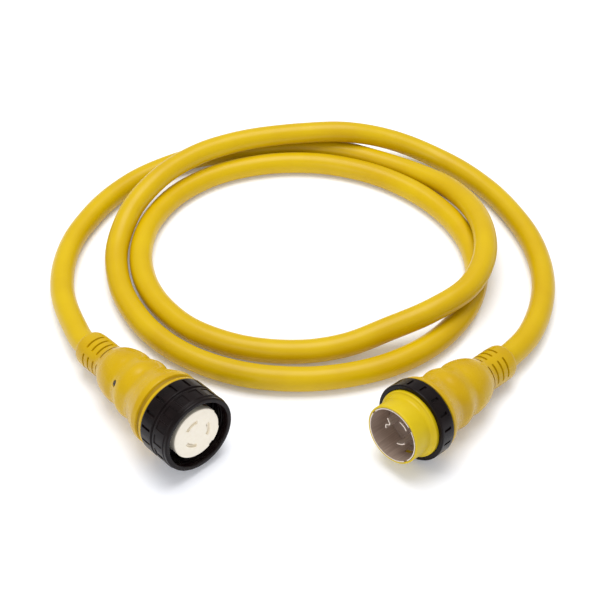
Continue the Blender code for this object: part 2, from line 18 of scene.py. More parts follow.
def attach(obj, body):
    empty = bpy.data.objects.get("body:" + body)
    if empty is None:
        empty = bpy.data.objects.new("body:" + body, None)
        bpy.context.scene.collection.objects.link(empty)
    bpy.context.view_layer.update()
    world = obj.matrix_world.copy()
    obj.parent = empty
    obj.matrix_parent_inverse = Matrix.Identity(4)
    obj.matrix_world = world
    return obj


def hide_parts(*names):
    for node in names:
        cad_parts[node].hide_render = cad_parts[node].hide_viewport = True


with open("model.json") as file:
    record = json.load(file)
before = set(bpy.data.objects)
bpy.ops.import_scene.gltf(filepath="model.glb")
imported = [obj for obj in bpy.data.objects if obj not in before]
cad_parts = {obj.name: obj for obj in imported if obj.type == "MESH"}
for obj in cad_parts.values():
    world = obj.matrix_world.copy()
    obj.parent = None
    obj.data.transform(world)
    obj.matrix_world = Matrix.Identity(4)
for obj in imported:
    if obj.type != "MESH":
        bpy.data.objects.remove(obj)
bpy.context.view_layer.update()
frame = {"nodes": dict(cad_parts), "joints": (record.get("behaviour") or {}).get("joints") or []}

MM = 0.001

# %% [markdown]
# ## Camera, floor and light
# A cord like this is shown from in front and above, with a long lens, on a white paper sweep.
# The light is a wide soft box above and behind, so the tops of the loops shine, their near
# sides fall off, and a soft shadow lies on the near side of everything.  A sun lamp would be
# simpler, but its shadows are hard and its glints are dots.

# %% Camera
CAMERA_AIM = Vector((0.0047, 0.1630, 0.0))
LOOK_DOWN = math.radians(44.0)
CAMERA_DISTANCE = 1.1727
LENS_MM = 65.6

camera_data = bpy.data.cameras.new("camera")
camera_data.lens = LENS_MM
camera_data.sensor_width = 36.0
camera_data.clip_end = 20.0
camera = bpy.data.objects.new("camera", camera_data)
bpy.context.scene.collection.objects.link(camera)
back_up = Vector((0.0, -math.cos(LOOK_DOWN), math.sin(LOOK_DOWN)))
camera.location = CAMERA_AIM + back_up * CAMERA_DISTANCE
camera.rotation_euler = (math.radians(90.0) - LOOK_DOWN, 0.0, 0.0)
bpy.context.scene.camera = camera
print("camera at", tuple(round(v, 3) for v in camera.location))

# %% Colours and nodes
def srgb(code):
    """Linear colour of an sRGB hex value such as 'E2B92B'."""
    parts = np.array([int(code[i:i + 2], 16) / 255.0 for i in (0, 2, 4)])
    linear = np.where(parts <= 0.04045, parts / 12.92, ((parts + 0.055) / 1.055) ** 2.4)
    return (*(float(v) for v in linear), 1.0)


def new_material(name):
    """An empty material: its node tree and its Principled shader."""
    made = bpy.data.materials.new(name)
    made.use_nodes = True
    return made, made.node_tree, made.node_tree.nodes["Principled BSDF"]


def add_node(tree, kind, links=None, values=None):
    """One node: links feeds its inputs from output sockets, values sets its other inputs."""
    node = tree.nodes.new(kind)
    for key, value in (values or {}).items():
        node.inputs[key].default_value = value
    for key, socket in (links or {}).items():
        tree.links.new(socket, node.inputs[key])
    return node


# %% Paper sweep
FLOOR_SIZE = 12.0

paper, tree, shader = new_material("white paper sweep")
shader.inputs["Base Color"].default_value = srgb("F4F5F9")
shader.inputs["Roughness"].default_value = 0.95
shader.inputs["Specular IOR Level"].default_value = 0.0
# A white studio throws light back on its sweep, and a faint glow stands for its far walls.
shader.inputs["Emission Color"].default_value = srgb("EDF2FF")
shader.inputs["Emission Strength"].default_value = 0.12

half = FLOOR_SIZE / 2
floor_corners = [(-half, -half, 0), (half, -half, 0), (half, half, 0), (-half, half, 0)]
floor_mesh = bpy.data.meshes.new("floor")
floor_mesh.from_pydata(floor_corners, [], [(0, 1, 2, 3)])
floor_mesh.materials.append(paper)
floor = bpy.data.objects.new("floor", floor_mesh)
bpy.context.scene.collection.objects.link(floor)
print("floor", FLOOR_SIZE, "m square")


# %% Soft boxes and world
def soft_box(name, stand, aim, size, watts):
    """A square white area light that stands in one place and faces another."""
    data = bpy.data.lights.new(name, "AREA")
    data.shape = "SQUARE"
    data.size = size
    data.energy = watts
    lamp = bpy.data.objects.new(name, data)
    lamp.location = stand
    lamp.rotation_euler = (Vector(aim) - Vector(stand)).to_track_quat("-Z", "Y").to_euler()
    bpy.context.scene.collection.objects.link(lamp)


soft_box("soft_box_above", (-0.02, 0.45, 1.7), (0.0, 0.15, 0.0), 1.3, 27.0)
soft_box("soft_box_front", (-0.9, -1.5, 0.9), (0.0, 0.0, 0.0), 1.2, 9.0)

world = bpy.data.worlds.new("studio")
world.use_nodes = True
background = world.node_tree.nodes["Background"]
background.inputs["Color"].default_value = srgb("FFFFFF")
background.inputs["Strength"].default_value = 0.55
bpy.context.scene.world = world
bpy.context.scene.view_settings.view_transform = "Standard"
print("two soft boxes and a pale world")

# %% [markdown]
# ## Surfaces from arrays
# Almost every piece here is round about one axis, so it is a *turned* surface: a closed
# outline of (radius, distance behind the front) is carried round the axis.  Notches, panels and
# slots are pressed into it: a function of where a point is says how far it moves inwards.
# The grid gets extra lines at the edges of each feature, so its walls are steep and its
# corners are crisp, without any Boolean.

# %% Mesh from arrays
SHARP_ANGLE = math.radians(38.0)


def add_piece(name, points, quads, loose_triangles=None, uv=None):
    """An object from an (n, 3) array of points and an (m, 4) array of corner numbers.

    The volume under a closed surface is the sum of a . (b x c) over its triangles a, b, c, so
    faces that give a negative sum point inwards and are turned round.
    """
    faces = np.asarray(quads)
    corners = points[faces]
    volume = np.einsum("ij,ij->", corners[:, 0], np.cross(corners[:, 1], corners[:, 2]))
    volume += np.einsum("ij,ij->", corners[:, 0], np.cross(corners[:, 2], corners[:, 3]))
    polygons = faces.tolist()
    if loose_triangles is not None and len(loose_triangles):
        fan = np.asarray(loose_triangles)
        tips = points[fan]
        volume += np.einsum("ij,ij->", tips[:, 0], np.cross(tips[:, 1], tips[:, 2]))
        polygons += fan.tolist()
    if volume < 0:
        polygons = [face[::-1] for face in polygons]
    mesh = bpy.data.meshes.new(name)
    mesh.from_pydata(points.tolist(), [], polygons)
    if uv is not None:
        layer = mesh.uv_layers.new(name="surface")
        loops = np.zeros(len(mesh.loops), np.int32)
        mesh.loops.foreach_get("vertex_index", loops)
        layer.data.foreach_set("uv", uv[loops].astype(np.float32).ravel())
    mesh.shade_smooth()
    mesh.set_sharp_from_angle(angle=SHARP_ANGLE)
    piece = bpy.data.objects.new(name, mesh)
    bpy.context.scene.collection.objects.link(piece)
    return piece


def grid_quads(rows, columns, wrap_rows):
    """Corner numbers of a grid that always closes round its columns, and round its rows when asked."""
    i, j = np.meshgrid(np.arange(rows if wrap_rows else rows - 1), np.arange(columns), indexing="ij")
    i2 = (i + 1) % rows
    j2 = (j + 1) % columns
    corners = [i * columns + j, i2 * columns + j, i2 * columns + j2, i * columns + j2]
    return np.stack(corners, -1).reshape(-1, 4)


# %% Outlines with rounded corners
FILLET_POINTS = 5
FILLET_SHARE = 0.48


def rounded(corners, longest):
    """Closed outline in mm from (r, s, fillet) corners.

    A fillet is a quadratic curve that starts and ends one fillet away from its corner, or at
    FILLET_SHARE of a short edge, and heads for the corner at both ends.
    """
    count = len(corners)
    spots = np.array([c[:2] for c in corners], float)
    fillets = np.array([c[2] for c in corners], float)
    out = []
    for k in range(count):
        before = spots[k - 1] - spots[k]
        after = spots[(k + 1) % count] - spots[k]
        room = FILLET_SHARE * min(np.linalg.norm(before), np.linalg.norm(after))
        reach = min(fillets[k], room)
        if reach <= 0:
            out.append(spots[k][None])
            continue
        a = spots[k] + before / np.linalg.norm(before) * reach
        b = spots[k] + after / np.linalg.norm(after) * reach
        t = np.linspace(0, 1, FILLET_POINTS)[:, None]
        out.append((1 - t) ** 2 * a + 2 * t * (1 - t) * spots[k] + t ** 2 * b)
    return divided(np.concatenate(out), longest)


def divided(line, longest):
    """A closed outline with every edge cut into pieces no longer than a length."""
    out = []
    for a, b in zip(line, np.roll(line, -1, axis=0)):
        pieces = max(1, int(np.ceil(np.linalg.norm(b - a) / longest)))
        out.append(a + (b - a) * np.linspace(0, 1, pieces, endpoint=False)[:, None])
    return np.concatenate(out)


# %% Extra rows and smooth lines
def with_rows(line, places, outside_of):
    """Adds points where the outline's outer side crosses each distance s in places."""
    for place in places:
        a = line
        b = np.roll(line, -1, axis=0)
        crossing = (a[:, 1] - place) * (b[:, 1] - place) < -1e-9
        crossing &= np.minimum(a[:, 0], b[:, 0]) > outside_of
        for k in np.nonzero(crossing)[0][::-1]:
            share = (place - a[k, 1]) / (b[k, 1] - a[k, 1])
            line = np.insert(line, k + 1, a[k] + (b[k] - a[k]) * share, axis=0)
    return line


def smooth_line(points, per_span):
    """Catmull-Rom curve through points: each span is a cubic that leaves along its neighbours' chord."""
    p = np.asarray(points, float)
    p = np.concatenate([2 * p[:1] - p[1:2], p, 2 * p[-1:] - p[-2:-1]])
    t = np.linspace(0, 1, per_span, endpoint=False)[None, :, None]
    a, b, c, d = (p[i:len(p) - 3 + i, None, :] for i in range(4))
    curve = 0.5 * (2 * b + (c - a) * t + (2 * a - 5 * b + 4 * c - d) * t ** 2
                   + (3 * b - a - 3 * c + d) * t ** 3)
    return np.concatenate([curve.reshape(-1, p.shape[1]), p[-2:-1]])


# %% Columns, windows and turns
def angles(base, edges=(), soft=0.5):
    """Columns round the axis in degrees: evenly spaced ones, and three at each feature's edge."""
    marks = [np.linspace(-180, 180, base, endpoint=False)]
    for edge in edges:
        marks.append(np.array([edge - soft, edge, edge + soft]))
    wrapped = (np.concatenate(marks) + 180.0) % 360.0 - 180.0
    return np.unique(np.round(wrapped, 4))


def window(x, low, high, soft):
    """1 between low and high, 0 outside, with edges that ramp over a soft width."""
    rise = np.clip((x - low) / soft + 0.5, 0, 1)
    fall = np.clip((high - x) / soft + 0.5, 0, 1)
    return rise * fall


def turn_from(theta, middle):
    """Angle from a middle, in degrees from -180 to 180."""
    return (theta - middle + 180.0) % 360.0 - 180.0


# %% [markdown]
# ## Where each end lies
# Each locking ring's joint gives a point and an axis, and that is all an end needs: its own
# frame has +Z out of its front, +X as near to straight up as the tilt allows, and +Y across.

# %% The two ends' frames
def end_matrix(joint_name):
    """Columns: up, across, forwards, and the middle of the front, as a 4 x 4 array."""
    joint = next(j for j in frame["joints"] if j["name"] == joint_name)
    forward = np.array(joint["axis"], float)
    forward /= np.linalg.norm(forward)
    up = np.array([0.0, 0.0, 1.0]) - forward * forward[2]
    up /= np.linalg.norm(up)
    matrix = np.eye(4)
    matrix[:3, 0] = up
    matrix[:3, 1] = np.cross(forward, up)
    matrix[:3, 2] = forward
    matrix[:3, 3] = joint["pos_m"]
    return matrix


CONNECTOR = end_matrix("connector_ring_turn")
PLUG = end_matrix("plug_ring_turn")


def place(end, r, theta, s):
    """Points of an end in the shared frame, from radius and distance in mm and angle in degrees."""
    a = np.radians(theta)
    local = np.stack([r * np.cos(a), r * np.sin(a), -s + 0 * a], -1) * MM
    return local @ end[:3, :3].T + end[:3, 3]


def turned(name, end, line, columns, press=None):
    """Closed ring solid: an (r, s) outline in mm carried round an end's axis, with features pressed in."""
    r = np.repeat(line[:, 0:1], len(columns), axis=1)
    s = np.repeat(line[:, 1:2], len(columns), axis=1)
    theta = np.repeat(columns[None, :], len(line), axis=0)
    if press is not None:
        r, s = press(r, s, theta)
    points = place(end, r, theta, s).reshape(-1, 3)
    return add_piece(name, points, grid_quads(len(line), len(columns), True))


print("connector front", np.round(CONNECTOR[:3, 3], 4), "plug front", np.round(PLUG[:3, 3], 4))

# %% [markdown]
# ## The cable
# The cable is 25 mm of soft vinyl over four stranded conductors.  It is heavy and stiff, so it
# lies in wide lazy loops, flat on the floor, and climbs in a long low hump where it crosses
# itself.  Its route is a list of radii and heights given for every 15 degrees of turn,
# the same list that the solid model uses, with a smooth curve through them.  A bevelled curve
# object would draw it too, but points worked out here give its length, and a UV map that runs
# along it for the grain of its jacket.

# %% The route
CABLE_DIAMETER = 0.025
CABLE_CLEARANCE = 0.05 * MM
POINTS_A_SPAN = 12
COIL_CENTRE = np.array([0.0118, 0.2322])
TURN_STEP = 15.0
FIRST_TURN = 210.0
ROUTE = np.array([
    (270, 18.5), (269, 14), (263, 12.6), (251, 12.6), (238, 12.6), (222, 12.6),
    (205, 12.6), (192, 12.6), (188, 12.6), (186, 12.6), (184, 13), (187, 16),
    (192.5, 22), (194, 30), (194, 37.5), (194, 39.5), (189, 39.5), (175, 36),
    (160, 25), (155.5, 15.5), (156.5, 12.6), (161, 12.6), (167, 12.6), (173.5, 12.6),
    (178, 12.6), (181.5, 12.6), (183, 12.6), (182.5, 12.6), (179.5, 12.6), (174, 12.6),
    (167, 12.6), (161, 12.6), (157.5, 12.6), (156, 12.6), (157, 12.6), (160.5, 12.6),
    (166.5, 12.6), (174.5, 12.6), (183, 12.6), (189.5, 12.6), (192.5, 12.6), (193.5, 12.6),
    (193.5, 12.6), (193, 12.6), (194, 12.6), (197, 12.6), (201, 12.6), (204.5, 12.6),
    (206.5, 12.6), (208.5, 13), (209, 17), (203.5, 28.5), (195, 37), (189, 39.5),
    (184, 39.5), (181, 39), (183, 38.5), (192, 38), (211, 28), (229, 15),
    (237, 12.6), (244, 12.6), (253.5, 12.6), (261, 13), (264, 15),
]) * MM
# Where the route's first and last points lie on the two ends' own axes, in mm behind their fronts.
AXIS_START = np.array([131.0, 152.0, 176.0])
AXIS_END = np.array([166.0, 142.0, 121.0])

turns = np.radians(FIRST_TURN - TURN_STEP * np.arange(len(ROUTE)))
loops = np.stack([COIL_CENTRE[0] + ROUTE[:, 0] * np.cos(turns),
                  COIL_CENTRE[1] + ROUTE[:, 0] * np.sin(turns), ROUTE[:, 1]], -1)
route = np.concatenate([place(CONNECTOR, 0.0, 0.0 * AXIS_START, AXIS_START), loops,
                        place(PLUG, 0.0, 0.0 * AXIS_END, AXIS_END)])
centreline = smooth_line(route, POINTS_A_SPAN)
centreline[:, 2] = np.maximum(centreline[:, 2], CABLE_DIAMETER / 2 + CABLE_CLEARANCE)


# %% Tube along a path
CABLE_SIDES = 40


def tube(name, path, radius, sides, swell):
    """Round tube: rings square to the path, each turned as little as possible from the one before.

    A ring's sideways direction is the last ring's, less the part of it that lies along the path.
    """
    tangent = np.gradient(path, axis=0)
    tangent /= np.linalg.norm(tangent, axis=1)[:, None]
    side = np.cross(tangent[0], [0.0, 0.0, 1.0])
    across = np.zeros_like(tangent)
    for k, ahead in enumerate(tangent):
        side = side - ahead * np.dot(side, ahead)
        side = side / np.linalg.norm(side)
        across[k] = side
    over = np.cross(tangent, across)
    a = np.linspace(0, 2 * np.pi, sides, endpoint=False)
    along = np.concatenate([[0.0], np.cumsum(np.linalg.norm(np.diff(path, axis=0), axis=1))])
    size = radius + swell(along[:, None], a[None, :])
    ring = across[:, None, :] * np.cos(a)[None, :, None] + over[:, None, :] * np.sin(a)[None, :, None]
    points = (path[:, None, :] + ring * size[..., None]).reshape(-1, 3)
    first = len(points)
    points = np.concatenate([points, path[:1], path[-1:]])
    j = np.arange(sides)
    j2 = (j + 1) % sides
    last = (len(path) - 1) * sides
    fans = np.concatenate([np.stack([j2, j, 0 * j + first], -1),
                           np.stack([last + j, last + j2, 0 * j + first + 1], -1)])
    uv = np.stack([np.tile(a * radius, len(path)), np.repeat(along, sides)], -1)
    uv = np.concatenate([uv, [[0, 0], [0, along[-1]]]])
    return add_piece(name, points, grid_quads(len(path), sides, False), fans, uv)


def jacket_swell(along, a):
    """The jacket is no perfect cylinder: slow waves along and round it, a tenth of a millimetre high."""
    slow = 0.10 * np.sin(along * 41.0 + 1.3) + 0.07 * np.sin(along * 97.0 + a)
    return (slow + 0.05 * np.cos(2 * a + along * 9.0) - 0.12) * MM


cable = tube("yellow_cable", centreline, CABLE_DIAMETER / 2, CABLE_SIDES, jacket_swell)
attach(cable, "cord_set")
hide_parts("cord")
print("cable rings", len(centreline))

# %% [markdown]
# ## Yellow vinyl
# The cable jacket and the moulded ends are the same plasticised vinyl.  It is a soft plastic
# with a low even gloss, and a strong warm yellow that turns orange where the light has bounced
# twice.  Its colour drifts slightly over some centimetres, its gloss is a little uneven from
# handling, and the moulded skin has a very fine grain.  One flat colour would look like paint,
# so every finish here takes its colour, gloss and height from noise of a real size.  The narrow
# groove behind the connector's ring is painted a darker, duller yellow that stands for its shade.

# %% One way to dress a shader
def cells(size_mm):
    """Scale of a noise whose blobs have a real size: coordinates are in metres."""
    return 1000.0 / size_mm


def dress(tree, shader, colours, gloss, height):
    """Joins three patterns to a shader.

    colours is (pattern, deep colour, its place on the ramp, light colour, its place), gloss is
    (pattern, lowest roughness, highest roughness), and height is (pattern, strength, depth in mm).
    """
    pattern, deep, deep_at, light, light_at = colours
    ramp = add_node(tree, "ShaderNodeValToRGB", {"Fac": pattern})
    ramp.color_ramp.elements[0].position = deep_at
    ramp.color_ramp.elements[0].color = srgb(deep)
    ramp.color_ramp.elements[1].position = light_at
    ramp.color_ramp.elements[1].color = srgb(light)
    tree.links.new(ramp.outputs["Color"], shader.inputs["Base Color"])
    pattern, low, high = gloss
    spread = add_node(tree, "ShaderNodeMapRange", {"Value": pattern}, {"To Min": low, "To Max": high})
    tree.links.new(spread.outputs["Result"], shader.inputs["Roughness"])
    pattern, strength, depth_mm = height
    bump = add_node(tree, "ShaderNodeBump", {"Height": pattern},
                    {"Strength": strength, "Distance": depth_mm * MM})
    tree.links.new(bump.outputs["Normal"], shader.inputs["Normal"])


# %% Yellow finishes
VINYL_IOR = 1.42
VINYL_SPECULAR = 0.32
# Extrusion draws the jacket's grain out along the cable.
DRAWN_OUT = (1.0, 0.18, 1.0)


def vinyl(name, light, deep, rough, grain_mm, grain_depth_mm, smear_mm, along_cable=False):
    """Plasticised vinyl: two close yellows mixed by a soft cloud, a fine grain, and uneven gloss."""
    made, tree, shader = new_material(name)
    coords = add_node(tree, "ShaderNodeTexCoord")
    spot = coords.outputs["Object"]
    cloud = add_node(tree, "ShaderNodeTexNoise", {"Vector": spot},
                     {"Scale": cells(smear_mm), "Detail": 3.0}).outputs["Fac"]
    smear = add_node(tree, "ShaderNodeTexNoise", {"Vector": spot},
                     {"Scale": cells(smear_mm * 0.35), "Detail": 5.0}).outputs["Fac"]
    if along_cable:
        spot = add_node(tree, "ShaderNodeMapping", {"Vector": coords.outputs["UV"]},
                        {"Scale": DRAWN_OUT}).outputs["Vector"]
    grain = add_node(tree, "ShaderNodeTexNoise", {"Vector": spot},
                     {"Scale": cells(grain_mm), "Detail": 2.0}).outputs["Fac"]
    dress(tree, shader, (cloud, deep, 0.35, light, 0.68), (smear, rough - 0.07, rough + 0.09),
          (grain, 0.5, grain_depth_mm))
    shader.inputs["IOR"].default_value = VINYL_IOR
    shader.inputs["Specular IOR Level"].default_value = VINYL_SPECULAR
    return made


JACKET = vinyl("extruded yellow vinyl jacket", "CCAB02", "C4A001", 0.33, 1.4, 0.05, 60.0, along_cable=True)
CASING = vinyl("moulded yellow vinyl", "C4A002", "BC9600", 0.26, 0.7, 0.03, 28.0)
SLEEVE = vinyl("rigid yellow sleeve plastic", "D0B60E", "C9AD0A", 0.34, 0.5, 0.015, 24.0)
# Darker, duller yellow painted on the groove behind the connector's ring as its shade.
GROOVE_SHADE_PAINT = vinyl("yellow vinyl with painted groove shade", "9C7A04", "8F6E03", 0.50, 0.7, 0.05, 28.0)
cable.data.materials.append(JACKET)
print("yellow finishes made")

# %% [markdown]
# ## Black nylon and rubber
# The locking rings are injection-moulded nylon: nearly black with a warm tint, smooth on the
# flats, with a soft sheen that handling has made uneven.  The seal and washer are matt rubber.
# Painted images could hold the wear, but noise needs no unwrapping and never shows a seam.

# %% Black finishes
BLACK_SPECULAR = 0.14
HANDLING_MM = 9.0


def black_moulding(name, base, worn, rough, grain_mm, depth_mm):
    """Moulded black: one cloud mixes two near blacks and spreads the gloss, over a fine grain."""
    made, tree, shader = new_material(name)
    spot = add_node(tree, "ShaderNodeTexCoord").outputs["Object"]
    cloud = add_node(tree, "ShaderNodeTexNoise", {"Vector": spot},
                     {"Scale": cells(HANDLING_MM), "Detail": 5.0}).outputs["Fac"]
    grain = add_node(tree, "ShaderNodeTexNoise", {"Vector": spot},
                     {"Scale": cells(grain_mm), "Detail": 3.0}).outputs["Fac"]
    dress(tree, shader, (cloud, base, 0.40, worn, 0.75), (cloud, rough - 0.08, rough + 0.10),
          (grain, 0.6, depth_mm))
    shader.inputs["Specular IOR Level"].default_value = BLACK_SPECULAR
    return made


NYLON = black_moulding("moulded black nylon", "0E0707", "160C0C", 0.28, 0.8, 0.02)
RUBBER = black_moulding("black seal rubber", "120F10", "1C191A", 0.72, 0.5, 0.05)
print("black finishes made")

# %% [markdown]
# ## Metal, thermoset and lens finishes
# The blades and liner are nickel-plated brass, a warm grey metal with fine drawing lines along
# the axis.  Their plating is dulled by use and stands in a deep black recess, where a full
# metal would mirror the dark, so both are only partly metallic.  The contacts are bare brass.
# The connector's face is a cream thermoset with a satin skin, and the plug's floor a dark one.
# Anisotropy could stand for the drawing lines, but real streaks also show in their colour.

# %% Metal finishes
STREAK_STRETCH = 0.04
FINE_DEPTH_MM = 0.02


def drawn_metal(name, light, dark, rough, metallic, end, line_mm):
    """Drawn or stamped metal: streaks that run along an end's axis, in colour, gloss and height."""
    made, tree, shader = new_material(name)
    spot = add_node(tree, "ShaderNodeTexCoord").outputs["Object"]
    turn = Matrix([list(row) for row in end[:3, :3].T]).to_euler()
    lined = add_node(tree, "ShaderNodeMapping", {"Vector": spot}, {"Rotation": turn})
    stretched = add_node(tree, "ShaderNodeMapping", {"Vector": lined.outputs["Vector"]},
                         {"Scale": (1.0, 1.0, STREAK_STRETCH)})
    streak = add_node(tree, "ShaderNodeTexNoise", {"Vector": stretched.outputs["Vector"]},
                      {"Scale": cells(line_mm), "Detail": 4.0}).outputs["Fac"]
    dress(tree, shader, (streak, dark, 0.30, light, 0.70), (streak, rough - 0.08, rough + 0.12),
          (streak, 0.4, FINE_DEPTH_MM))
    shader.inputs["Metallic"].default_value = metallic
    return made


LINER_METAL = drawn_metal("drawn nickel-plated liner", "CDB9AA", "B09C8E", 0.58, 0.55, PLUG, 1.2)
BLADE_METAL = drawn_metal("stamped nickel-plated blade", "E4D8CC", "C9BBAE", 0.42, 0.75, PLUG, 1.0)
BRASS = drawn_metal("stamped brass contact", "D2A765", "A87C42", 0.32, 1.0, CONNECTOR, 1.0)
print("metals made")


# %% Moulded hard plastics
def hard_plastic(name, light, deep, rough, speck_mm):
    """Thermoset or hard plastic: one faint mottle for its colour, gloss and satin skin."""
    made, tree, shader = new_material(name)
    spot = add_node(tree, "ShaderNodeTexCoord").outputs["Object"]
    mottle = add_node(tree, "ShaderNodeTexNoise", {"Vector": spot},
                      {"Scale": cells(speck_mm), "Detail": 6.0}).outputs["Fac"]
    dress(tree, shader, (mottle, deep, 0.30, light, 0.72), (mottle, rough - 0.06, rough + 0.08),
          (mottle, 0.4, FINE_DEPTH_MM))
    return made


CREAM = hard_plastic("cream thermoset face", "FBF3E2", "F7EEDB", 0.45, 4.0)
DARK_BLOCK = hard_plastic("dark thermoset floor", "8A786C", "76665C", 0.55, 3.0)
SMOKED = hard_plastic("smoked lens plastic", "2A2024", "1A1216", 0.12, 3.0)
LAMP = hard_plastic("indicator lamp plastic", "D8552E", "C04420", 0.25, 3.0)
WIRE_COLOURS = {"black": ("26242A", "1B1A1D"), "red": ("B4261F", "9E1E18"), "white": ("E9E8E4", "DCDAD5"),
                "green": ("1F7A3A", "18682F")}
WIRES = {colour: hard_plastic(f"{colour} wire insulation", light, deep, 0.45, 3.0)
         for colour, (light, deep) in WIRE_COLOURS.items()}
print("thermosets, lens and insulation made")

# %% [markdown]
# ## The moulded grip
# Behind its flange each end narrows to a waist, swells into two finger bulges and ends in a
# slotted strain relief, which here stays straight.  The slots are rows of thin arcs with four
# bridges between them, and every arc fades out towards its ends.  A Boolean could cut them, but
# it leaves long thin faces that shade badly.  Here the grid has a line at each slot's edge, and
# the points between those lines are moved inwards.

# %% Relief slots
RELIEF_ROWS = (61.6, 69.6, 77.7, 85.8)
SLOT_WIDTH = 2.0
SLOT_HALF = 35.0
SLOT_SOFT = 0.35
SLOT_FADE = 9.0
SLOT_FLOOR_R = 15.9


def slot_edges(waist):
    """Distances s at which every relief slot starts and stops, with lines just inside and outside."""
    edges = []
    for row in RELIEF_ROWS:
        for side in (-SLOT_WIDTH / 2, SLOT_WIDTH / 2):
            edges += [waist + row + side - SLOT_SOFT / 2, waist + row + side + SLOT_SOFT / 2]
    return edges


def slot_press(r, s, theta, waist, bridge):
    """How far each point moves inwards, in mm: down to the slots' floor, and less near an arc's ends."""
    depth = np.zeros_like(r)
    for row in RELIEF_ROWS:
        band = window(s, waist + row - SLOT_WIDTH / 2, waist + row + SLOT_WIDTH / 2, SLOT_SOFT)
        for k in range(4):
            off = np.abs(turn_from(theta, bridge + 45 + 90 * k))
            fade = np.clip((SLOT_HALF - off) / SLOT_FADE, 0, 1) ** 0.6
            depth += band * fade * np.maximum(r - SLOT_FLOOR_R, 0)
    return depth


print("relief slots:", 4 * len(RELIEF_ROWS), "on each end")

# %% Finger hollows
# Each is (depth, distance behind the waist, spread) in mm.
FINGER_DENTS = ((1.8, 3.5, 7.0), (1.1, 25.0, 6.0))
DENT_ANGLE = 85.0
DENT_SPREAD = 30.0
GRIP_SKIN_R = 24.0


def finger_dents(r, s, theta, waist):
    """Hollows where a finger and thumb close on a grip, in mm: bell curves along and round it."""
    sides = np.exp(-((np.abs(theta) - DENT_ANGLE) / DENT_SPREAD) ** 2)
    sides = sides * (r > GRIP_SKIN_R) * (s > waist - 12.0)
    hollow = 0.0
    for depth, behind, spread in FINGER_DENTS:
        hollow = hollow + depth * np.exp(-((s - waist - behind) / spread) ** 2)
    return hollow * sides


# %% Casing outline
GRIP = [
    (33.7, -12.0), (31.6, -6.5), (29.9, 0.0), (30.9, 7.5), (30.8, 13.0), (28.8, 20.5),
    (27.4, 27.0), (28.0, 34.5), (27.0, 43.5), (24.6, 52.0), (20.8, 60.0), (18.7, 67.0),
    (18.6, 80.0), (18.6, 92.0), (18.2, 98.0),
]
CABLE_BORE_R = 12.7
HOLLOW_R = 20.5
RELIEF_SKIN_R = 14.0
CASING_STEP = 2.2


def casing_outline(flange, waist, throat_r, mouth):
    """A casing's outline: flange, smooth grip, end of the relief, cable bore, hollow and mouth."""
    grip = smooth_line([(r, waist + behind) for r, behind in GRIP], 5)
    corners = flange + [(r, s, 0.0) for r, s in grip]
    corners += [(17.4, waist + 100.6, 0.8), (14.4, waist + 102.3, 0.6), (CABLE_BORE_R, waist + 102.4, 0.2),
                (CABLE_BORE_R, waist + 58.0, 0), (throat_r, waist + 52.0, 0), (HOLLOW_R, waist + 41.0, 0),
                (HOLLOW_R, waist + 23.0, 0), (23.4, waist + 5.0, 0)]
    return with_rows(rounded(corners + mouth, CASING_STEP), slot_edges(waist), RELIEF_SKIN_R)


def casing_columns(bridge):
    """Columns round a casing, with three at each end of every relief slot."""
    ends = [bridge + 45 + 90 * k + side * SLOT_HALF for k in range(4) for side in (-1, 1)]
    return angles(168, ends, 1.2)


def face_middles(piece):
    """The middle of every face, as an (n, 3) array."""
    middles = np.zeros(3 * len(piece.data.polygons), np.float32)
    piece.data.polygons.foreach_get("center", middles)
    return middles.reshape(-1, 3)


print("grip outline from", len(GRIP), "points")

# %% [markdown]
# ## The connector's casing
# One hollow moulding: a flange with a round groove behind the ring, the grip, and the relief.
# A small oval well in its upper left side holds the power indicator.  The well is pressed in
# like the slots, so casing and well stay one closed skin.

# %% Connector casing
WAIST_C = 75.0
BRIDGE_C = 44.0
GROOVE_START, GROOVE_STOP, GROOVE_FLOOR_R = 41.0, 45.6, 35.2
INDICATOR_ANGLE = 52.0
INDICATOR_S = 96.0
INDICATOR_HALF = (2.4, 3.4)
WELL_DEPTH = 3.0
WELL_SOFT = 0.16

flange = [(30.0, 28.0, 0), (30.0, 37.3, 0.3), (37.6, 37.3, 0.9), (37.6, 40.4, 0.5),
          (GROOVE_FLOOR_R, GROOVE_START, 0.4), (GROOVE_FLOOR_R, GROOVE_STOP, 0.4),
          (37.4, 46.4, 0.6), (37.6, 52.0, 1.6), (36.2, 56.0, 1.0), (34.9, 59.5, 1.0)]
line = casing_outline(flange, WAIST_C, 18.0, [(23.9, 28.0, 0)])
# Extra rows and columns round the well keep its wall smooth.
line = with_rows(line, INDICATOR_S + np.linspace(-2.7, 2.7, 15), GRIP_SKIN_R)
columns = np.unique(np.concatenate([casing_columns(BRIDGE_C), INDICATOR_ANGLE + np.linspace(-7.8, 7.8, 25)]))


def press_connector_casing(r, s, theta):
    """Relief slots, finger hollows, and a well whose wall follows the edge of an ellipse."""
    dents = finger_dents(r, s, theta, WAIST_C)
    across = np.radians(turn_from(theta, INDICATOR_ANGLE)) * r
    oval = np.sqrt(((s - INDICATOR_S) / INDICATOR_HALF[0]) ** 2 + (across / INDICATOR_HALF[1]) ** 2)
    well = WELL_DEPTH * np.clip((1 - oval) / WELL_SOFT + 0.5, 0, 1) * (r > GRIP_SKIN_R)
    return r - slot_press(r, s, theta, WAIST_C, BRIDGE_C) - np.where(well > 0, 0.0, dents) - well, s


connector_casing = turned("connector_casing_moulding", CONNECTOR, line, columns, press_connector_casing)
connector_casing.data.materials.append(CASING)
connector_casing.data.materials.append(GROOVE_SHADE_PAINT)
print("connector casing", len(connector_casing.data.polygons), "faces")
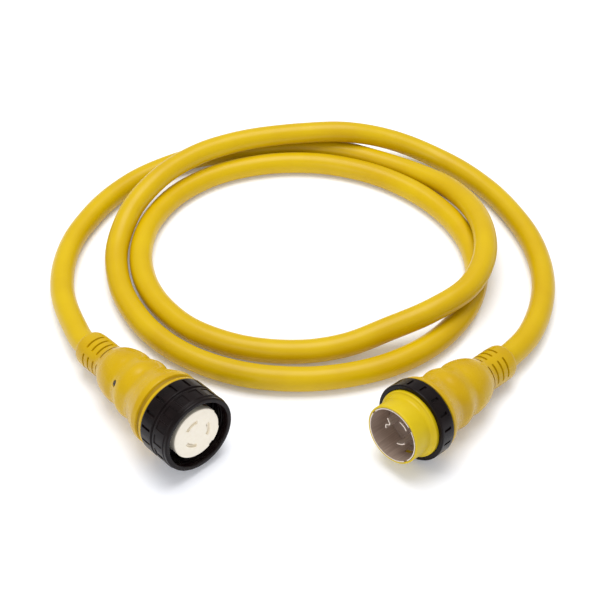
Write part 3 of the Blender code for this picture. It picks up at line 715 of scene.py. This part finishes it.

# %% The groove's painted shade
# Faces in the groove behind the ring take the darker vinyl, which paints in the groove's shade.
spots = face_middles(connector_casing) - CONNECTOR[:3, 3]
behind = -(spots @ CONNECTOR[:3, 2])
from_axis = np.linalg.norm(spots + behind[:, None] * CONNECTOR[:3, 2], axis=1) / MM
behind = behind / MM
groove_shade_faces = (behind > GROOVE_START - 0.3) & (behind < GROOVE_STOP + 0.4)
groove_shade_faces &= (from_axis > GROOVE_FLOOR_R - 1.2) & (from_axis < GROOVE_FLOOR_R + 0.8)
connector_casing.data.polygons.foreach_set("material_index", groove_shade_faces.astype(np.int32))
print("groove", int(groove_shade_faces.sum()), "faces")

# %% [markdown]
# ## The plug's casing
# The same grip behind a plainer, narrower flange, so it shares the outline, the slots and the
# hollows, and only its flange, its waist and the turn of its bridges are its own.

# %% Plug casing
WAIST_P = 65.0
BRIDGE_P = -10.0

flange = [(30.8, 43.3, 0), (36.6, 43.3, 0.9), (36.9, 44.4, 0.5), (36.3, 48.5, 1.2), (34.6, 51.0, 0.8)]
line = casing_outline(flange, WAIST_P, 17.2, [(23.9, 52.6, 0), (30.8, 52.6, 0)])


def press_plug_casing(r, s, theta):
    """Relief slots and finger hollows."""
    return r - slot_press(r, s, theta, WAIST_P, BRIDGE_P) - finger_dents(r, s, theta, WAIST_P), s


plug_casing = turned("plug_casing_moulding", PLUG, line, casing_columns(BRIDGE_P), press_plug_casing)
plug_casing.data.materials.append(CASING)
print("plug casing", len(plug_casing.data.polygons), "faces")

# %% [markdown]
# ## The connector's locking ring
# A black collar in two bands with a parting groove between them.  The rear band has sixteen
# axial slots for grip, the front band sixteen shallow rectangular panels, and the mouth a plain
# rounded lip.  Its bore has a thread: a ridge wound once round for every turn.  Sixteen copies
# of one notch would need joining; folding the angle into one sixteenth repeats it for free.

# %% Ring pattern
RING_REPEATS = 16
PITCH = 360.0 / RING_REPEATS
RING_SKIN_R = 35.5
ROW_SOFT = 0.4
COLUMN_SOFT = 0.5
NOTCH_HALF = 1.8
NOTCH_DEPTH = 1.5


def repeated(theta, middle, half):
    """1 within half a width of a middle, in degrees, at all sixteen places round a ring, else 0."""
    # A distance is never negative, so only the far edge of this window is used.
    off = np.abs(turn_from((theta - middle) * RING_REPEATS, 0.0)) / RING_REPEATS
    return window(off, -1.0, half, COLUMN_SOFT)


def repeated_edges(middle, half):
    """Angles of both edges of a strip at all sixteen places."""
    return [PITCH * k + middle + side * half for k in range(RING_REPEATS) for side in (-1, 1)]


def row_edges(*ends):
    """Rows just before and behind each end of a notch or panel, where its wall ramps."""
    return [end + side * ROW_SOFT / 2 for end in ends for side in (-1, 1)]


print("ring pattern every", PITCH, "degrees")

# %% Connector ring
NOTCH_S = (23.1, 34.3)
PANEL_S = (5.0, 16.4)
PANEL_MIDDLE = 5.5
PANEL_HALF = 6.9
PANEL_DEPTH = 0.75
THREAD_BORE_R = 33.3
THREAD_S = (5.5, 24.0)
THREAD_FADE = 3.0
THREAD_PITCH = 4.0
THREAD_DEPTH = 0.7

corners = [(33.0, -0.8, 0.7), (37.4, -0.8, 1.3), (37.4, 3.0, 0.4), (38.1, 3.6, 0.4), (38.1, 18.5, 0.5),
           (36.8, 19.3, 0.3), (36.8, 20.7, 0.3), (38.3, 21.5, 0.5), (38.3, 36.0, 0.6), (37.6, 37.0, 0.4),
           (30.4, 37.0, 0.3), (30.4, 28.2, 0.3), (THREAD_BORE_R, 28.2, 0.3), (THREAD_BORE_R, 2.9, 0.3),
           (32.7, 2.4, 0.4)]
line = with_rows(rounded(corners, 1.6), row_edges(*NOTCH_S) + row_edges(*PANEL_S), RING_SKIN_R)
line = with_rows(line, np.arange(3.5, 28.0, 0.4), THREAD_BORE_R - 0.1)


def press_connector_ring(r, s, theta):
    """Notches, panels, and a ridge in the bore where s / pitch + turns is a whole number."""
    dip = NOTCH_DEPTH * repeated(theta, 0.0, NOTCH_HALF) * window(s, *NOTCH_S, ROW_SOFT)
    dip += PANEL_DEPTH * repeated(theta, PANEL_MIDDLE, PANEL_HALF) * window(s, *PANEL_S, ROW_SOFT)
    phase = (s / THREAD_PITCH + theta / 360.0) * 2 * np.pi
    ridge = THREAD_DEPTH * np.clip(np.cos(phase) * 1.6 - 0.4, 0, 1) * window(s, *THREAD_S, THREAD_FADE)
    bore = np.abs(r - THREAD_BORE_R) < 0.1
    return r - dip * (r > RING_SKIN_R) - ridge * bore, s


columns = angles(96, repeated_edges(0.0, NOTCH_HALF) + repeated_edges(PANEL_MIDDLE, PANEL_HALF), 0.25)
connector_ring = turned("connector_locking_ring", CONNECTOR, line, columns, press_connector_ring)
connector_ring.data.materials.append(NYLON)
print("connector ring", len(connector_ring.data.polygons), "faces")

# %% [markdown]
# ## The plug's locking ring
# One band, sixteen notches, and a flat front annulus round the sleeve's shoulder.  It is turned
# like the other ring, with the same notch.

# %% Plug ring
PLUG_NOTCH_S = (28.6, 37.0)

corners = [(33.7, 25.0, 0.4), (38.2, 25.0, 1.0), (38.2, 41.3, 0.9), (30.9, 41.3, 0.3), (30.9, 27.4, 0.3),
           (33.7, 27.4, 0.3)]
line = with_rows(rounded(corners, 1.6), row_edges(*PLUG_NOTCH_S), RING_SKIN_R)


def press_plug_ring(r, s, theta):
    """Axial notches."""
    notch = repeated(theta, 0.0, NOTCH_HALF) * window(s, *PLUG_NOTCH_S, ROW_SOFT)
    return r - NOTCH_DEPTH * notch * (r > RING_SKIN_R), s


columns = angles(128, repeated_edges(0.0, NOTCH_HALF), 0.25)
plug_ring = turned("plug_locking_ring", PLUG, line, columns, press_plug_ring)
plug_ring.data.materials.append(NYLON)
print("plug ring", len(plug_ring.data.polygons), "faces")

# %% [markdown]
# ## Washer and seal
# Two flat rubber rings: one keeps the plug's ring off its casing, the other lies at the bottom
# of the connector's well.  A small rounded rectangle is turned for each.

# %% Washer and seal
line = rounded([(30.9, 41.6, 0.2), (35.6, 41.6, 0.4), (35.6, 43.0, 0.4), (30.9, 43.0, 0.2)], 1.5)
plug_washer = turned("plug_ring_washer", PLUG, line, angles(128))
plug_washer.data.materials.append(RUBBER)

line = rounded([(25.7, 22.2, 0.3), (32.2, 22.2, 0.6), (32.2, 23.7, 0.2), (25.7, 23.7, 0.2)], 1.0)
seal = turned("connector_seal", CONNECTOR, line, angles(128))
seal.data.materials.append(RUBBER)
print("washer and seal", len(plug_washer.data.polygons) + len(seal.data.polygons), "faces")

# %% [markdown]
# ## The plug's sleeve
# A thin rigid sleeve sticks out of the ring, with a soft step before a rounded shoulder.  It has
# no feature that breaks its roundness, so its outline is simply turned.

# %% Plug sleeve
corners = [(27.1, 0.0, 0.3), (28.7, 0.0, 0.6), (28.9, 1.4, 0.5), (28.9, 18.8, 1.0), (30.0, 20.3, 0.8),
           (31.2, 21.6, 0.5), (33.2, 22.2, 1.2), (33.3, 27.0, 0.4), (30.5, 27.0, 0.3), (30.5, 52.0, 0.3),
           (27.1, 52.0, 0.3)]
line = rounded(corners, 2.2)
sleeve = turned("plug_sleeve", PLUG, line, angles(160))
sleeve.data.materials.append(SLEEVE)
print("sleeve", len(sleeve.data.polygons), "faces")

# %% [markdown]
# ## Thin walls with openings
# The metal liner and the cream face are walls with holes right through them, and the plug's
# floor and the indicator's lens are walls with none.  A solid disc with Booleans would do, but
# its arc-shaped holes leave ragged corners.  Each wall is two matching grids, an outer and an
# inner one.  Cells marked open are left out of
# both, and a wall of quads joins the two grids wherever an open cell meets a closed one.

# %% Walled sheet
def walled(name, outer, inner, closed, capped_start=False):
    """Solid between two (rows, columns, 3) grids.  closed says which cells are filled; columns wrap round."""
    rows, columns = outer.shape[:2]
    count = rows * columns
    index = np.arange(count).reshape(rows, columns)
    right = np.roll(index, -1, axis=1)
    cell = np.stack([index[:-1], index[1:], right[1:], right[:-1]], -1)
    quads = [cell[closed], cell[closed][:, ::-1] + count]
    padded = np.zeros((rows + 1, columns), bool)
    padded[1:-1] = closed
    above = padded[1:] & ~padded[:-1]
    below = padded[:-1] & ~padded[1:]
    if capped_start:
        above[0] = False
    a, b = index[above], right[above]
    quads.append(np.stack([a, b, b + count, a + count], -1))
    a, b = index[below], right[below]
    quads.append(np.stack([b, a, a + count, b + count], -1))
    west = closed & ~np.roll(closed, 1, axis=1)
    east = ~closed & np.roll(closed, 1, axis=1)
    a, b = index[:-1][west], index[1:][west]
    quads.append(np.stack([b, a, a + count, b + count], -1))
    a, b = index[:-1][east], index[1:][east]
    quads.append(np.stack([a, b, b + count, a + count], -1))
    points = np.concatenate([outer.reshape(-1, 3), inner.reshape(-1, 3)])
    fans = None
    if capped_start:
        # The first row closes on its middle, on both grids, as a fan of triangles.
        middle = np.stack([outer[0].mean(0), inner[0].mean(0)])
        hub = len(points)
        points = np.concatenate([points, middle])
        j = index[0]
        j2 = right[0]
        fans = np.concatenate([np.stack([j, j2, 0 * j + hub], -1),
                               np.stack([j2 + count, j + count, 0 * j + hub + 1], -1)])
    corners = [q.ravel() for q in quads] + ([] if fans is None else [fans.ravel()])
    used = np.unique(np.concatenate(corners))
    renumber = np.zeros(len(points), int)
    renumber[used] = np.arange(len(used))
    return add_piece(name, points[used], renumber[np.concatenate(quads)],
                     None if fans is None else renumber[fans])


def sheet_grid(end, line, columns):
    """Grid of an (r, s) line carried round an end's axis."""
    theta = np.repeat(columns[None, :], len(line), axis=0)
    return place(end, line[:, 0:1] + 0 * theta, theta, line[:, 1:2] + 0 * theta)


def cell_middles(columns):
    """The angle in the middle of each cell; the last cell closes the circle."""
    middles = (columns + np.roll(columns, -1)) / 2
    middles[-1] += 180.0
    return middles


print("helpers for walls with openings")


# %% [markdown]
# ## The plug's metal liner
# A drawn metal tube inside the sleeve is the earth contact.  Its rim has three small notches, and one side
# window shows the yellow sleeve behind it.  Its bright cut rim gets the blades' finish.

# %% Plug liner
LINER_R = (25.8, 26.8)
NOTCHES = (66.0, -130.0, -40.0)
RIM_NOTCH_HALF = 5.0
RIM_NOTCH_STOP = 2.4
WINDOW_ANGLE = -156.0
WINDOW_HALF = 9.0
WINDOW_S = (15.7, 20.3)

edges = [m + side * RIM_NOTCH_HALF for m in NOTCHES for side in (-1, 1)]
edges += [WINDOW_ANGLE - WINDOW_HALF, WINDOW_ANGLE + WINDOW_HALF]
columns = angles(120, edges, 0.6)
edge_depths = [-0.2, 0.2, 2.2, 2.6, 15.5, 16.0, 20.0, 20.5]
depths = np.unique(np.concatenate([edge_depths, np.linspace(4.0, 46.0, 22)]))
middles = cell_middles(columns)[None, :]
between = ((depths[:-1] + depths[1:]) / 2)[:, None]
closed = np.ones((len(depths) - 1, len(columns)), bool)
for notch in NOTCHES:
    closed &= ~((between < RIM_NOTCH_STOP) & (np.abs(turn_from(middles, notch)) < RIM_NOTCH_HALF))
in_window = (between > WINDOW_S[0]) & (between < WINDOW_S[1])
closed &= ~(in_window & (np.abs(turn_from(middles, WINDOW_ANGLE)) < WINDOW_HALF))
inner, outer = (sheet_grid(PLUG, np.stack([0 * depths + r, depths], -1), columns) for r in LINER_R)
liner = walled("plug_metal_liner", outer, inner, closed)
liner.data.materials.append(LINER_METAL)
liner.data.materials.append(BLADE_METAL)
to_front = (face_middles(liner) - PLUG[:3, 3]) @ PLUG[:3, 2]
liner.data.polygons.foreach_set("material_index", (to_front > -0.25 * MM).astype(np.int32))
print("liner", len(liner.data.polygons), "faces")

# %% [markdown]
# ## The connector's face
# A cream block with three arc slots on a 25 mm circle, and a rim that is cut back in places so
# that it only fits one way round.  Each slot is a shallow recess with a narrow opening along its
# middle, where brass shows.  The block is a walled sheet too: its front and side are one line
# carried round the axis, and the recesses and cuts move that line's points.

# %% Face: lines and columns
SLOT_ANGLES = (18.0, 138.0, -102.0)
FACE_SLOT_HALF = 29.0
FACE_SLOT_R = (11.05, 14.75)
RECESS_DEPTH = 2.4
RECESS_SOFT = 0.3
OPENING_HALF = 27.0
OPENING_R = (12.2, 12.8)
# Each is (first angle, last angle, depth in mm).
RIM_CUTS = ((-108.0, -62.0, 0.9), (-156.0, -144.0, 1.3))
CUT_SOFT = 1.2
FACE_S = 2.2
FACE_R = 25.4
FACE_ROUND = 0.8

marks = [m + side * FACE_SLOT_HALF for m in SLOT_ANGLES for side in (-1, 1)]
marks += [angle for first, last, depth in RIM_CUTS for angle in (first, last)]
columns = angles(144, marks, 0.6)
edges = [r + side * RECESS_SOFT / 2 for r in FACE_SLOT_R for side in (-1, 1)]
radii = np.unique(np.concatenate([[0.8], edges, OPENING_R, np.linspace(2.5, 24.0, 16)]))
front = np.stack([radii, 0 * radii + FACE_S], -1)
bend = np.linspace(0, math.pi / 2, 6)
rim = np.stack([FACE_R - FACE_ROUND * (1 - np.sin(bend)), FACE_S + FACE_ROUND * (1 - np.cos(bend))], -1)
side = np.stack([np.full(8, FACE_R), np.linspace(5.0, 24.0, 8)], -1)
line = np.concatenate([front, rim, side])
print("face grid", len(line), "by", len(columns))

# %% Face: recesses, cuts and openings
theta = np.repeat(columns[None, :], len(line), axis=0)
cut_back = sum(depth * window(theta, first, last, CUT_SOFT) for first, last, depth in RIM_CUTS)
cut_back = cut_back * np.clip((line[:, 0:1] - 20.0) / 4.0, 0, 1)
recess = np.zeros_like(theta)
closed = np.ones((len(line) - 1, len(columns)), bool)
between = ((line[:-1, 0] + line[1:, 0]) / 2)[:, None]
in_opening = (between > OPENING_R[0]) & (between < OPENING_R[1])
for middle in SLOT_ANGLES:
    recess += window(turn_from(theta, middle), -FACE_SLOT_HALF, FACE_SLOT_HALF, CUT_SOFT)
    closed &= ~(in_opening & (np.abs(turn_from(cell_middles(columns), middle)) < OPENING_HALF)[None, :])
recess *= RECESS_DEPTH * window(line[:, 0:1], *FACE_SLOT_R, RECESS_SOFT) * (line[:, 1:2] < FACE_S + 0.1)
outer = place(CONNECTOR, line[:, 0:1] - cut_back, theta, line[:, 1:2] + recess)
back = np.stack([np.minimum(line[:, 0], 22.3), np.maximum(line[:, 1], 7.4)], -1)
inner = sheet_grid(CONNECTOR, back, columns)
face = walled("connector_face", outer, inner, closed, capped_start=True)
face.data.materials.append(CREAM)
print("face", len(face.data.polygons), "faces")

# %% [markdown]
# ## Blades
# A blade is a strip of plated brass bent to an arc, with a rounded tip.  The neutral blade is
# folded into an S, which is how a hand can tell it from the two live ones.  A curve with a
# Solidify modifier would do, but a tip that narrows by given insets needs its own rows.

# %% A strip along an end's axis
def strip(name, end, path, thick, s_rows, insets):
    """Solid strip: a path in mm across an end's axis, given a thickness and carried along the axis.

    Each row is the path moved half a thickness to both sides, less the inset that rounds the tip.
    """
    d = np.gradient(path, axis=0)
    d /= np.linalg.norm(d, axis=1)[:, None]
    normal = np.stack([-d[:, 1], d[:, 0]], -1)
    rows = []
    for s, inset in zip(s_rows, insets):
        core = path.copy()
        core[0] += d[0] * inset
        core[-1] -= d[-1] * inset
        side = normal * (thick / 2 - inset)
        loop = np.concatenate([core + side, (core - side)[::-1]])
        rows.append(np.concatenate([loop, np.full((len(loop), 1), -s)], axis=1))
    grid = np.array(rows) * MM
    points = (grid @ end[:3, :3].T + end[:3, 3]).reshape(-1, 3)
    across = grid.shape[1]
    half = across // 2
    k = np.arange(half - 1)
    start_cap = np.stack([k, k + 1, across - 2 - k, across - 1 - k], -1)
    caps = np.concatenate([start_cap[:, ::-1], start_cap + len(points) - across])
    quads = np.concatenate([grid_quads(len(rows), across, False), caps])
    return add_piece(name, points, quads)


def arc_path(radius, start, stop, count):
    """Points of an arc in mm, from one angle to another in degrees."""
    a = np.radians(np.linspace(start, stop, count))
    return np.stack([radius * np.cos(a), radius * np.sin(a)], -1)


# %% Blades
CIRCLE_R = 12.5
BLADE_THICK = 1.6
FOLD_THICK = 1.5
BLADE_HALF = 24.0
BLADE_ROWS = [6.5, 6.55, 6.7, 6.95, 7.3, 10, 14, 18, 22, 26, 30]
BLADE_INSETS = [0.42, 0.28, 0.14, 0.04, 0, 0, 0, 0, 0, 0, 0]
BENT_ARCS = {"blade_line_one": -25.0, "blade_line_two": -145.0}
FOLD = [(13.2, 112.0), (13.6, 103.0), (13.2, 94.0), (11.2, 87.0), (9.6, 78.0), (11.0, 69.0), (13.4, 64.0),
        (15.2, 61.0)]

blades = []
for name, middle in BENT_ARCS.items():
    path = arc_path(CIRCLE_R, middle - BLADE_HALF, middle + BLADE_HALF, 25)
    blades.append(strip(name, PLUG, path, BLADE_THICK, BLADE_ROWS, BLADE_INSETS))
path = smooth_line([(r * math.cos(math.radians(t)), r * math.sin(math.radians(t))) for r, t in FOLD], 6)
blades.append(strip("blade_neutral_folded", PLUG, path, FOLD_THICK, BLADE_ROWS, BLADE_INSETS))
for blade in blades:
    blade.data.materials.append(BLADE_METAL)
print("blades", [len(blade.data.polygons) for blade in blades])

# %% [markdown]
# ## The plug's floor
# The blades stand in a dark thermoset block that closes the bottom of the sleeve.  Only its
# front shows, deep in shadow, so it is a plain cup: the same walled sheet with nothing open.

# %% Plug floor
FLOOR_S = 26.0
floor_line = np.array([(0.8, FLOOR_S), (6.0, FLOOR_S), (12.0, FLOOR_S), (18.0, FLOOR_S), (24.0, FLOOR_S),
                       (25.2, 26.15), (25.5, 26.6), (25.5, 33.0), (25.5, 40.0)])
columns = angles(96)
outer = sheet_grid(PLUG, floor_line, columns)
inner_line = np.stack([np.minimum(floor_line[:, 0], 23.5), np.maximum(floor_line[:, 1], 29.5)], -1)
inner = sheet_grid(PLUG, inner_line, columns)
closed = np.ones((len(floor_line) - 1, len(columns)), bool)
base = walled("plug_floor", outer, inner, closed, capped_start=True)
base.data.materials.append(DARK_BLOCK)
print("floor of the plug", len(base.data.polygons), "faces")

# %% [markdown]
# ## The power indicator
# A small smoked lens sits in the casing's oval well, with two low lobes side by side that each
# catch a glint.  A sphere squashed to size would be one dome; a height over an oval grid can be
# any shape.

# %% Indicator lens
LENS_SHARE = 0.93
LENS_FOOT_R = 26.6
LENS_EDGE_R = 27.3
LENS_SKIN_R = 29.0
LENS_RISE = 1.3
LOBE_OFFSET = 1.6
LOBE_HALF = 1.9

rings = np.linspace(0.08, 1.0, 12)[:, None]
spin = np.radians(np.linspace(0, 360, 48, endpoint=False))[None, :]
along = INDICATOR_S + INDICATOR_HALF[0] * LENS_SHARE * rings * np.cos(spin)
sideways = INDICATOR_HALF[1] * LENS_SHARE * rings * np.sin(spin)
lobe = np.abs(np.abs(sideways) - LOBE_OFFSET) / LOBE_HALF
rise = LENS_RISE * np.sqrt(np.maximum(1 - lobe ** 2, 0.0)) * np.sqrt(np.maximum(1 - rings ** 2 * 0.97, 0))
lens_r = LENS_EDGE_R + rise
theta = INDICATOR_ANGLE + np.degrees(sideways / LENS_SKIN_R)
outer = place(CONNECTOR, lens_r, theta, along)
inner = place(CONNECTOR, 0 * lens_r + LENS_FOOT_R, theta, along)
closed = np.ones((rings.size - 1, spin.size), bool)
lens = walled("indicator_lens_dome", outer, inner, closed, capped_start=True)
lens.data.materials.append(SMOKED)
print("lens", len(lens.data.polygons), "faces")

# %% [markdown]
# ## Putting the pieces on their bodies
# Everything rides on the cord set, except the two locking rings, which turn.  Each new piece
# takes the place of its solid, and the wires, contacts and lamp, which hardly show, keep theirs.

# %% Ride, replace, and refinish the kept nodes
PIECES = [
    (connector_casing, "cord_set", "connector_casing", "moulded_casing"),
    (plug_casing, "cord_set", "plug_casing", "moulded_casing"),
    (connector_ring, "connector_ring_body", "connector_ring", "locking_ring"),
    (plug_ring, "plug_ring_body", "plug_ring", "locking_ring"),
    (plug_washer, "cord_set", "plug_washer", "seal_rubber"),
    (seal, "cord_set", "connector_gasket", "seal_rubber"),
    (sleeve, "cord_set", "plug_shroud", "hard_sleeve"),
    (liner, "cord_set", "plug_shell", "plated_metal"),
    (face, "cord_set", "connector_insert", "contact_block_pale"),
    (blades[0], "cord_set", "blade_line_1", "plated_metal"),
    (blades[1], "cord_set", "blade_line_2", "plated_metal"),
    (blades[2], "cord_set", "blade_neutral", "plated_metal"),
    (base, "cord_set", "plug_base", "contact_block_dark"),
    (lens, "cord_set", "indicator_lens", "smoked_lens"),
]
for piece, body, node, finish in PIECES:
    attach(piece, body)
    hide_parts(node)

KEPT = {"indicator_lamp": LAMP, "contact_line_1": BRASS, "contact_line_2": BRASS, "contact_neutral": BRASS,
        "contact_ground": BRASS}
for side in ("connector", "plug"):
    for colour, finish in WIRES.items():
        KEPT[f"{side}_wire_{colour}"] = finish
for node, finish in KEPT.items():
    mesh = frame["nodes"][node].data
    mesh.materials.clear()
    mesh.materials.append(finish)
print(len(PIECES) + 1, "new pieces,", len(KEPT), "nodes kept with new finishes")

# %% The free cord
on_plug = [plug_casing, plug_ring, plug_washer, sleeve, liner, base] + blades
on_plug += [frame["nodes"][f"plug_wire_{colour}"] for colour in WIRES]
print("free cord with", len(on_plug), "pieces on its plug")
